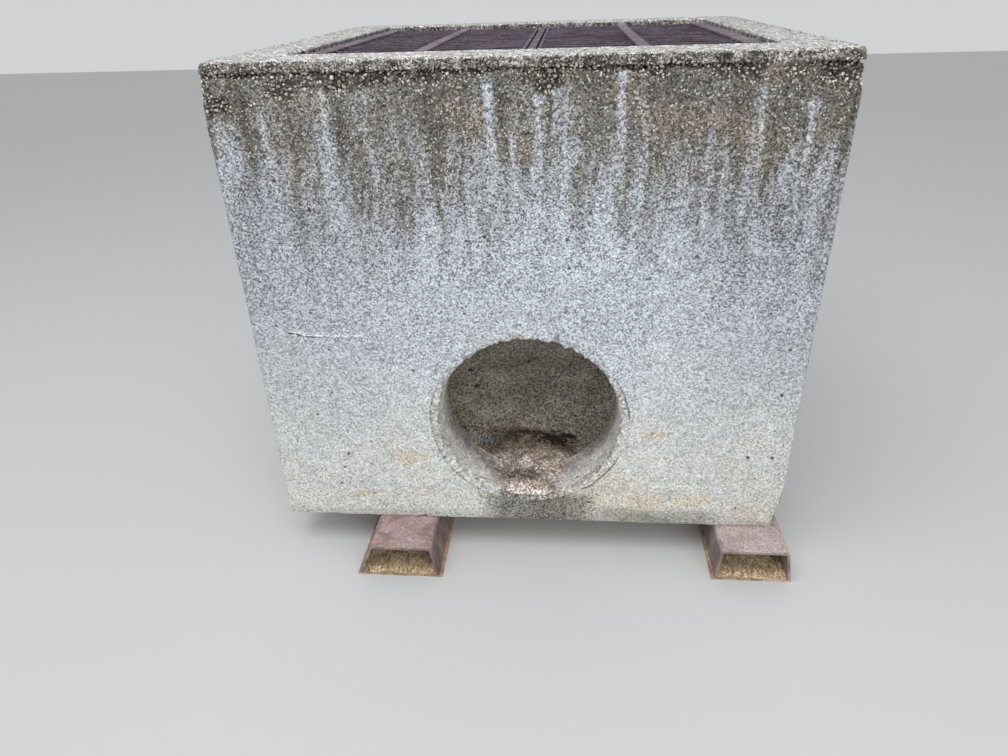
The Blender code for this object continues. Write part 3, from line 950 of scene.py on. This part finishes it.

    # worn lip, pale top, painted shade in the gaps between exposed stones, and a painted shadow in the undercut under
    # the lip
    lip = d.ease(0.0025, 0.006) * d.ease(LIP + 0.003, LIP - 0.003)
    colour = colour.coat(lip * 0.85, fine.tints(0.38, 0.62, (56, 52, 48), (158, 154, 149)))
    top = d.ease(0.006, 0.0025)
    colour = colour.coat(top, place.noise(60.0, 4.0, 0.7).tints(0.36, 0.62, (150, 148, 145), (212, 211, 210)))
    stony = net.painted("stony")
    # painted shade: darkens the concrete between the exposed stones
    painted_gap_shade = stony.ease(0.12, 0.8) * gravel.ease(0.36, 0.56, 0.6, 1.0)
    colour = colour.coat(painted_gap_shade, fine.tints(0.44, 0.64, (30, 28, 26), (76, 69, 62)))
    # painted shadow: near black in the undercut line under the lip
    colour = colour.coat(stony.ease(0.78, 0.98) * 0.85, (34, 31, 29))

    # every sand grain has its own tone, strongest under the rim
    grain, odds = net.group(sand_grains, Place=place, Scale=330.0)
    amount = reach.ease(0.12, 0.85, 1.28, 0.58)
    amount *= white.ease(0.0, 1.0, 1.0, 0.7)
    amount += larger(under, lip) * 0.65
    factor = 1.0 + grain * amount
    factor += gravel.centred(0.7) + fine.centred(0.55)
    colour = colour.scaled(factor.at_least(0.13))
    pepper = odds.ease(0.085, 0.05) * reach.ease(0.25, 0.8, 0.75, 0.4)
    colour = colour.coat(pepper, (66, 63, 60))
    salt = odds.ease(0.93, 0.96) * reach.ease(0.25, 0.8, 0.65, 0.35)
    colour = colour.coat(salt, (222, 222, 220))

    shaded_pores = net.group(air_holes, Place=place, Scale=17.0, Radius=0.062, Share=0.2)
    shaded_pores = larger(shaded_pores, net.group(air_holes, Place=place, Scale=60.0, Radius=0.1, Share=0.05))
    shaded_pores *= d.ease(0.1, 0.2)
    shaded_pores = larger(shaded_pores, together(net, round_mark, u, d, PITS, Flat=1.15) * on_front)
    # painted shade: the air holes and pits are painted dark
    colour = colour.coat(shaded_pores * 0.85, (54, 51, 47))

    height = grain.centred(0.3) + fine * 0.5
    height -= shaded_pores * 1.4
    height -= larger(rut, painted_ridge_shadow)
    height += painted_ridge_highlight * 1.2
    return finish_material(net, colour, height, 0.002, 0.8)


# across, along Y and radius of the air holes that show on the chamber's floor
FLOOR_PITS = (
    (-0.230, 0.034, 0.0110), (-0.195, -0.071, 0.0115), (-0.040, 0.098, 0.0095), (0.098, 0.077, 0.0065),
    (0.111, -0.238, 0.0045), (-0.248, -0.230, 0.0055),
)


def silt_colours(net, place):
    """Pale pinkish grit in the pipe hole with a darker patch across it, brown dirt in the chamber."""
    x, y, _ = place.split()
    cloud = place.noise(26.0, 4.0, 0.65)
    colour = cloud.tints(0.38, 0.6, (160, 147, 137), (226, 214, 205))
    depth = y + cloud.centred(0.07)
    brown = cloud.tints(0.4, 0.6, (122, 109, 94), (170, 154, 135))
    colour = colour.coat(depth.ease(-0.48, -0.435), brown)
    band = abs(depth + 0.545).ease(0.03, 0.006) * x.ease(0.07, -0.01)
    return colour.coat(band * 0.78, (100, 87, 80))


def chamber_concrete():
    """The plainer finish of the walls and floor inside."""
    net, place = new_material("chamber_concrete", 0.85)
    x, y, z = place.split()
    cloud = place.noise(7.0, 5.0, 0.6)
    colour = cloud.tints(0.35, 0.65, (168, 160, 149), (202, 196, 186))
    streaks = net.group(upright_streaks, Place=place, Across=16.0, Low=0.42, High=0.66)
    colour = colour.coat(streaks * z.ease(FLOOR_TOP + 0.02, FLOOR_TOP + 0.06) * 0.45, (116, 108, 97))
    green = x.ease(CHAMBER_X - 0.1, CHAMBER_X - 0.24) * place.noise(6.0, 2.0, 0.5).ease(0.38, 0.58)
    colour = colour.coat(green * 0.6, (142, 138, 98))
    dirty = net.group(washed_dirt, Place=place) * (z < FLOOR_TOP + 0.03)
    colour = colour.coat(dirty, silt_colours(net, place))
    grain, _ = net.group(sand_grains, Place=place.stretch((1.0, 0.5, 1.0)), Scale=275.0)
    factor = grain * 1.18 + (1.0 + place.noise(75.0, 3.0, 0.6).centred(0.8))
    colour = colour.scaled(factor.at_least(0.2))
    shaded_pores = net.group(air_holes, Place=place, Scale=14.0, Radius=0.05, Share=0.1)
    shaded_pores = shaded_pores * (z > FLOOR_TOP + 0.02)
    spots = together(net, round_mark, x, y, FLOOR_PITS, Flat=0.75)
    shaded_pores = larger(shaded_pores, spots * (z < FLOOR_TOP + 0.02))
    # painted shade: the air holes and floor pits are painted near black
    colour = colour.coat(shaded_pores * 0.92, (30, 27, 24))
    height = place.noise(130.0, 4.0, 0.6) - shaded_pores
    return finish_material(net, colour, height, 0.002, 0.7)


def loose_stone(name, tones):
    """Finish for small stones: each takes its colour from its own tone."""
    net, place = new_material(name, 0.9)
    tone = net.painted("tone")
    colour = tone.ramp(tones)
    grain, _ = net.group(sand_grains, Place=place, Scale=700.0)
    factor = 1.0 + grain * 0.35
    colour = colour.scaled(factor.at_least(0.3))
    dirt = net.group(specks, Place=place, Scale=110.0, Low=0.5, High=0.62)
    colour = colour.coat(dirt * 0.45, (72, 66, 60))
    return finish_material(net, colour, place.noise(600.0, 2.0, 0.6), 0.0006, 0.6)


# how loose stones and scraps are coloured: a stone's own tone, and its colour
STONE_TONES = ((0.0, 58, 54, 50), (0.22, 98, 91, 84), (0.45, 134, 128, 121), (0.62, 158, 146, 130),
               (0.78, 176, 168, 158), (0.90, 204, 198, 188), (1.0, 232, 228, 220))
SILT_TONES = ((0.0, 54, 46, 42), (0.3, 104, 90, 80), (0.55, 150, 130, 116), (0.8, 190, 168, 152), (1.0, 226, 208, 194))
LITTER_TONES = ((0.0, 34, 28, 26), (0.5, 70, 58, 48), (0.7, 112, 92, 70), (0.85, 150, 154, 158), (1.0, 196, 202, 208))
OCHRE_TONES = ((0.0, 84, 66, 48), (0.4, 140, 110, 74), (0.7, 182, 148, 102), (1.0, 216, 196, 168))

make_casting(weathered_concrete(), chamber_concrete())
make_stones(loose_stone("washed_stone", STONE_TONES))


# ---- dirt in the pipe hole and chamber ----

INVERT = HOLE_Z - HOLE_R


def concrete_under(x, y):
    """Height of the bare concrete: the pipe hole's lowest line, and past it the chamber's floor."""
    if y > -CHAMBER_HALF_Y:
        return FLOOR_TOP
    return HOLE_Z - math.sqrt(max(0.0, bore_radius(y) ** 2 - (x - CHAMBER_X) ** 2))


def silt_top(x, y):
    """Height of the washed-in bed: shallow at the hole's lip, a low mound inside the chamber."""
    roll = 0.0030 * wavy(x, y, 1, 22) + 0.0014 * wavy(x, y, 2, 70)
    if y < -CHAMBER_HALF_Y:
        t = (y - BOX_LOW.y) / WALL
        top = INVERT + 0.0035 + 0.0085 * smooth(0.03, 0.16, t) + 0.0175 * smooth(0.15, 1.0, t)
        return top - 0.5 * (x + 0.012) ** 2 + roll
    far = math.hypot((x + 0.02) / 0.21, (y + CHAMBER_HALF_Y) / 0.20) + 0.25 * wavy(x, y, 4, 12)
    mound = 0.029 * (1 - smooth(0.15, 1.0, far))
    return FLOOR_TOP + mound - 0.0016 * smooth(0.8, 1.1, far) + roll * (1 - smooth(0.6, 1.0, far))


def bed(name, x0, x1, y0, y1, step, under, over, finish):
    """A closed thin bed of dirt: the top follows over, and it ends where that dips below under."""
    bm = bmesh.new()
    nx, ny = round((x1 - x0) / step), round((y1 - y0) / step)
    bmesh.ops.create_grid(bm, x_segments=nx, y_segments=ny, size=0.5)
    bmesh.ops.scale(bm, vec=(x1 - x0, y1 - y0, 1.0), verts=bm.verts)
    bmesh.ops.translate(bm, vec=((x0 + x1) / 2, (y0 + y1) / 2, 0), verts=bm.verts)
    sunk, thick = set(), bm.verts.layers.float.new("thick")
    for vert in bm.verts:
        low, high = under(vert.co.x, vert.co.y), over(vert.co.x, vert.co.y)
        vert[thick] = max(0.0, high - low)
        if high < low:
            sunk.add(vert)
        vert.co.z = max(high, low - 0.0016)
    buried = [f for f in bm.faces if all(v in sunk for v in f.verts)]
    bmesh.ops.delete(bm, geom=buried, context="FACES")
    copies, _ = extruded(bm, bm.faces[:])
    for vert in copies:
        vert.co.z = min(vert.co.z, under(vert.co.x, vert.co.y)) - 0.0010
    bmesh.ops.recalc_face_normals(bm, faces=bm.faces)
    finish_piece(name, bm, (finish,), "inlet", 60)


def silt_material():
    """Silt that thins out to bare concrete at its edges."""
    net, place = new_material("silt", 0.95)
    colour = silt_colours(net, place)
    thick = net.painted("thick")
    ragged = place.noise(130.0, 3.0, 0.65).centred(0.01) + place.noise(30.0, 3.0, 0.6).centred(0.006)
    bare = (thick + ragged).ease(0.0046, 0.0012)
    in_chamber = place.split()[1].ease(-CHAMBER_HALF_Y - 0.02, -CHAMBER_HALF_Y + 0.01)
    bare = bare * (1.0 - net.group(washed_dirt, Place=place))
    colour = colour.coat(bare, in_chamber.between((128, 120, 110), (176, 168, 157)))
    grain, _ = net.group(sand_grains, Place=place.stretch((1.0, 0.7, 1.0)), Scale=275.0)
    factor = 1.0 + grain * 1.3
    colour = colour.scaled(factor.at_least(0.15))
    return finish_material(net, colour, grain, 0.0012, 0.7)


def silt_stone(rng):
    x, y = CHAMBER_X + rng.uniform(-0.14, 0.12), rng.uniform(BOX_LOW.y + 0.012, -0.30)
    top = silt_top(x, y)
    if top < concrete_under(x, y) + 0.0010 or rng.random() > (1.0 if y < -0.45 else 0.5):
        return None
    size = stone_size(rng, *SILT_STONES)
    dark = smooth(0.024, 0.010, abs(y + 0.548)) * smooth(0.05, -0.01, x)
    tone = rng.uniform(0.35, 1.0) - 0.4 * dark - (0.3 if y > -0.45 else 0.0)
    return Vector((x, y, top + size * 0.35)), size, tone


def make_litter(finish):
    """Dead leaf scraps and pale flakes on the pile inside the chamber."""
    rng = random.Random(7)
    bm = bmesh.new()
    layer = bm.verts.layers.float.new("tone")
    heaps = ((0.052, -0.375, 0.060, 0.045, 95, (0.0, 0.45)), (-0.118, -0.385, 0.036, 0.026, 34, (0.72, 1.0)),
             (-0.030, -0.360, 0.070, 0.040, 30, (0.3, 0.72)), (0.095, -0.350, 0.030, 0.020, 24, (0.0, 0.4)))
    for cx, cy, wide, deep, count, tones in heaps:
        for _ in range(count):
            x, y = cx + wide * 0.6 * rng.gauss(0, 0.7), cy + deep * 0.7 * rng.gauss(0, 0.7)
            length, width = rng.uniform(0.008, 0.020), rng.uniform(0.003, 0.007)
            made = bmesh.ops.create_grid(bm, x_segments=3, y_segments=1, size=0.5)
            curl, tone = rng.uniform(-0.25, 0.45), rng.uniform(*tones)
            for vert in made["verts"]:
                taper = 1 - 0.6 * (2 * vert.co.x) ** 2
                rise = curl * length * (0.25 - vert.co.x ** 2)
                vert.co = Vector((vert.co.x * length, vert.co.y * width * taper, rise))
                vert[layer] = tone
            turn = Matrix.Rotation(rng.uniform(0, 6.28), 4, "Z") @ Matrix.Rotation(rng.uniform(-0.6, 0.6), 4, "X")
            height = max(silt_top(x, y), FLOOR_TOP) + rng.uniform(0.0010, 0.0040)
            bmesh.ops.transform(bm, matrix=Matrix.Translation((x, y, height)) @ turn, verts=made["verts"])
    bmesh.ops.solidify(bm, geom=bm.faces[:], thickness=0.0005)
    bmesh.ops.recalc_face_normals(bm, faces=bm.faces)
    finish_piece("leaf_scraps", bm, (finish,), "inlet")


def make_rootlets(finish):
    """Thin rootlets across the pile, each a bent tapering tube."""
    paths = (((-0.050, -0.325), (-0.015, -0.350), (0.040, -0.352), (0.118, -0.345), 0.0013),
             ((0.070, -0.330), (0.085, -0.355), (0.095, -0.385), (0.070, -0.420), 0.0010),
             ((0.010, -0.500), (0.022, -0.492), (0.034, -0.482), (0.040, -0.470), 0.0009),
             ((-0.215, -0.302), (-0.190, -0.306), (-0.165, -0.306), (-0.140, -0.314), 0.0009),
             ((0.020, -0.330), (0.045, -0.318), (0.060, -0.325), (0.082, -0.312), 0.0010))
    for number, (*corners, thick) in enumerate(paths, 1):
        curve = bpy.data.curves.new("rootlet", "CURVE")
        curve.dimensions, curve.bevel_depth, curve.bevel_resolution, curve.use_fill_caps = "3D", thick, 1, True
        spline = curve.splines.new("POLY")
        steps = 16
        spline.points.add(steps - 1)
        for k, point in enumerate(spline.points):
            t = k / (steps - 1)
            weights = ((1 - t) ** 3, 3 * t * (1 - t) ** 2, 3 * t * t * (1 - t), t ** 3)
            x = sum(w * corner[0] for w, corner in zip(weights, corners)) + 0.003 * wavy(t, number, 0, 6)
            y = sum(w * corner[1] for w, corner in zip(weights, corners)) + 0.003 * wavy(t, number, 3, 6)
            low = max(silt_top(x, y), concrete_under(x, y))
            point.co = (x, y, low + thick * 0.7 + 0.003 * max(0.0, wavy(t, number, 5, 5)), 1.0)
            point.radius = 1.0 - 0.6 * abs(2 * t - 1) ** 2
        helper = into_scene("rootlet", curve)
        bm = bmesh_of(evaluated_copy(helper))
        bpy.data.objects.remove(helper)
        bmesh.ops.remove_doubles(bm, verts=bm.verts, dist=1e-6)
        bmesh.ops.recalc_face_normals(bm, faces=bm.faces)
        layer = bm.verts.layers.float.new("tone")
        for vert in bm.verts:
            vert[layer] = 0.25
        finish_piece(f"rootlet_{number}", bm, (finish,), "inlet")


bed("silt_bed", CHAMBER_X - 0.200, CHAMBER_X + 0.190, BOX_LOW.y + 0.006, -0.270, 0.004,
    concrete_under, silt_top, silt_material())
silt_grit = loose_stone("silt_grit", SILT_TONES)
heap("silt_stones", scatter(random.Random(5), SILT_TRIES, silt_stone, 0.8), silt_grit, 6)
litter_finish = loose_stone("litter", LITTER_TONES)
make_litter(litter_finish)
make_rootlets(litter_finish)


# ---- dirt in the rails ----

def rail_dirt(word, seed):
    """A wedge of washed-in earth on the floor of a rail's front end, with grit on it."""
    channel_low, channel_high = (Vector(c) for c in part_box(f"{word}_rail_channel"))
    plate_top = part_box(f"{word}_rail_plate")[1][2]
    low_x, high_x = channel_low.x + RAIL_WALL + 0.0005, channel_high.x - RAIL_WALL - 0.0005
    front = channel_low.y + 0.003

    def top(x, y):
        deep = y - front
        rise = 0.0052 * smooth(-0.002, 0.016, deep + 0.006 * wavy(x, seed, 0, 30)) * smooth(0.50, 0.10, deep)
        edge = 0.004 * smooth(0.03, 0.0, min(x - low_x, high_x - x))
        return plate_top - 0.0007 + rise + edge * smooth(0, 0.03, deep) + 0.0012 * wavy(x, y, seed, 40)

    def grit(rng):
        x, y = rng.uniform(low_x + 0.004, high_x - 0.004), front + 0.004 + 0.24 * rng.random() ** 2
        if top(x, y) < plate_top:
            return None
        size = stone_size(rng, *RAIL_GRIT)
        return Vector((x, y, top(x, y) + size * 0.3)), size, rng.uniform(0.2, 1.0)

    bed(f"{word}_rail_earth", low_x, high_x, front, front + 0.46, 0.005, lambda x, y: plate_top, top, EARTH)
    heap(f"{word}_rail_grit", scatter(random.Random(seed), RAIL_TRIES, grit), EARTH_GRIT, seed + 1)


def earth_material():
    """Dry sandy earth with pale and dark fibres, with painted light making it paler and warmer at the rails' open
    ends.
    """
    net, place = new_material("rail_earth", 0.95)
    cloud = place.noise(40.0, 4.0, 0.6)
    colour = cloud.tints(0.36, 0.62, (150, 131, 104), (236, 219, 186))
    fibres = place.stretch((1.0, 0.22, 1.0)).noise(190.0, 3.0, 0.6)
    # painted light: paler and warmer towards the rails' open front ends
    front = place.split()[1].ease(-0.615, -0.69)
    colour = colour.scaled(0.92).coat(front * 0.55, (238, 206, 164))
    colour = colour.coat(fibres.ease(0.5, 0.62, 0.0, 0.6), (108, 92, 70))
    colour = colour.coat(fibres.ease(0.46, 0.37, 0.0, 0.6), (240, 224, 190))
    grain, _ = net.group(sand_grains, Place=place, Scale=420.0)
    colour = colour.scaled(1.0 + grain * 0.6)
    return finish_material(net, colour, fibres + grain.centred(0.2), 0.0015, 0.8)


EARTH, EARTH_GRIT = earth_material(), loose_stone("earth_grit", OCHRE_TONES)
rail_dirt("left", 21)
rail_dirt("right", 31)


# ---- steel ----

def rusted_steel(name, pale, dark, orange, roughness=0.78, metallic=0.2, dusty=0.35, side_shade=1.0):
    """Old steel in two tones of rust with an orange bloom. Faces that do not face up are darkened by a painted shade,
    down to the factor given last at upright faces.
    """
    net, place = new_material(name, roughness, metallic)
    cloud = place.noise(14.0, 6.0, 0.65)
    broad = place.noise(4.0, 3.0, 0.5)
    colour = (cloud + broad.centred(0.35)).ease(0.34, 0.66).between(dark, pale)
    flakes = net.group(specks, Place=place, Scale=150.0, Low=0.5, High=0.66)
    colour = colour.coat(flakes * 0.5, dark)
    bloom = net.group(specks, Place=place, Scale=26.0, Low=0.52, High=0.7)
    colour = colour.coat(bloom * 0.45, orange)
    # dust lies on what faces up
    facing_up = net.value("NewGeometry", "Normal").split()[2]
    # painted shade: faces that do not face up are darkened
    colour = colour.scaled(facing_up.ease(0.2, 0.8, side_shade, 1.0))
    dust = facing_up.ease(0.6, 0.95) * place.noise(60.0, 4.0, 0.6).ease(0.46, 0.64) * dusty
    colour = colour.coat(dust, (176, 160, 152))
    grain, _ = net.group(sand_grains, Place=place, Scale=420.0)
    colour = colour.scaled((1.0 + grain * 0.5).at_least(0.2))
    net.put(net.shader.inputs["Roughness"], cloud.ease(0.3, 0.7, roughness - 0.12, roughness + 0.12))
    height = place.noise(220.0, 4.0, 0.6) * 0.5 + flakes * 0.4
    return finish_material(net, colour, height, 0.001, 0.7)


bar_rust = rusted_steel("bar_rust", (116, 105, 120), (70, 60, 70), (108, 84, 72), dusty=0.12)
strap_rust = rusted_steel("strap_rust", (136, 124, 138), (94, 82, 94), (124, 98, 86), dusty=0.15)
left_rail_rust = rusted_steel(
    "left_rail_rust", (184, 162, 160), (130, 106, 106), (190, 138, 120), 0.8, 0.1, 0.45, 0.70)
right_rail_rust = rusted_steel(
    "right_rail_rust", (194, 179, 178), (146, 129, 130), (190, 150, 134), 0.8, 0.1, 0.45, 0.66)
plate_rust = rusted_steel("plate_rust", (204, 178, 150), (140, 114, 90), (206, 162, 126), 0.9, 0.0)

for node_name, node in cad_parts.items():
    if node_name == "inlet_box":
        continue
    finish = bar_rust
    if "strap" in node_name:
        finish = strap_rust
    elif "rail_channel" in node_name:
        finish = left_rail_rust if "left" in node_name else right_rail_rust
    elif "rail_plate" in node_name:
        finish = plate_rust
    for slot in node.material_slots:
        slot.material = finish


def weld_beads(word):
    """A short bead on each bar along the edges of the straps that cross it."""
    rng = random.Random(len(word))
    bar_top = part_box(f"{word}_grate_bars")[1][2]
    mid_low, mid_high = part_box(f"{word}_grate_mid_strap")
    side_low, side_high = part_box(f"{word}_grate_side_strap")
    inner = side_high[0] if word == "left" else side_low[0]
    bm = bmesh.new()
    for k in range(BAR_COUNT):
        y = (k - (BAR_COUNT - 1) / 2) * BAR_PITCH
        for x in (mid_low[0], mid_high[0], inner):
            radii = rng.uniform(0.0022, 0.0030), rng.uniform(0.0038, 0.0046), rng.uniform(0.0020, 0.0028)
            shape = Matrix.Diagonal((*radii, 1.0))
            place = Matrix.Translation((x, y + rng.uniform(-0.0005, 0.0005), bar_top + 0.0003))
            bmesh.ops.create_uvsphere(bm, u_segments=10, v_segments=6, radius=1.0, matrix=place @ shape)
    finish_piece(f"{word}_weld_beads", bm, (strap_rust,), f"{word}_grate")


weld_beads("left")
weld_beads("right")


# ---- camera, lights and floor ----

def make_camera():
    data = bpy.data.cameras.new("camera")
    data.sensor_width = 36.0
    data.lens = 25.5683
    data.clip_start = 0.05
    camera = into_scene("camera", data)
    camera.location = (0.07738, -2.00519, 1.26997)
    camera.rotation_euler = [math.radians(a) for a in (61.0457, 1.6423, 4.5953)]
    bpy.context.scene.camera = camera


def area_light(name, place, aim, size, power):
    data = bpy.data.lights.new(name, "AREA")
    data.shape = "DISK"
    data.size = size
    data.energy = power
    lamp = into_scene(name, data)
    lamp.location = place
    lamp.rotation_euler = (Vector(aim) - Vector(place)).to_track_quat("-Z", "Y").to_euler()


def make_floor():
    bm = bmesh.new()
    bmesh.ops.create_grid(bm, x_segments=1, y_segments=1, size=12.0)
    floor = into_scene("floor", mesh_of("floor", bm))
    net, _ = new_material("pale_floor", 0.95)
    net.put(net.shader.inputs["Base Color"], (0.60, 0.60, 0.60, 1.0))
    floor.data.materials.append(net.made)


def make_world():
    world = bpy.data.worlds.new("studio")
    bpy.context.scene.world = world
    world.use_nodes = True
    background = world.node_tree.nodes["Background"]
    background.inputs["Color"].default_value = (0.96, 0.98, 1.0, 1.0)
    background.inputs["Strength"].default_value = 0.66


make_camera()
area_light("sky_panel", (-0.9, -1.8, 4.2), (0, 0, 0.6), 3.4, 85.0)
area_light("front_fill", (1.6, -4.0, 2.0), (0, 0, 0.5), 2.6, 46.0)
make_floor()
make_world()
bpy.context.scene.view_settings.view_transform = "Standard"
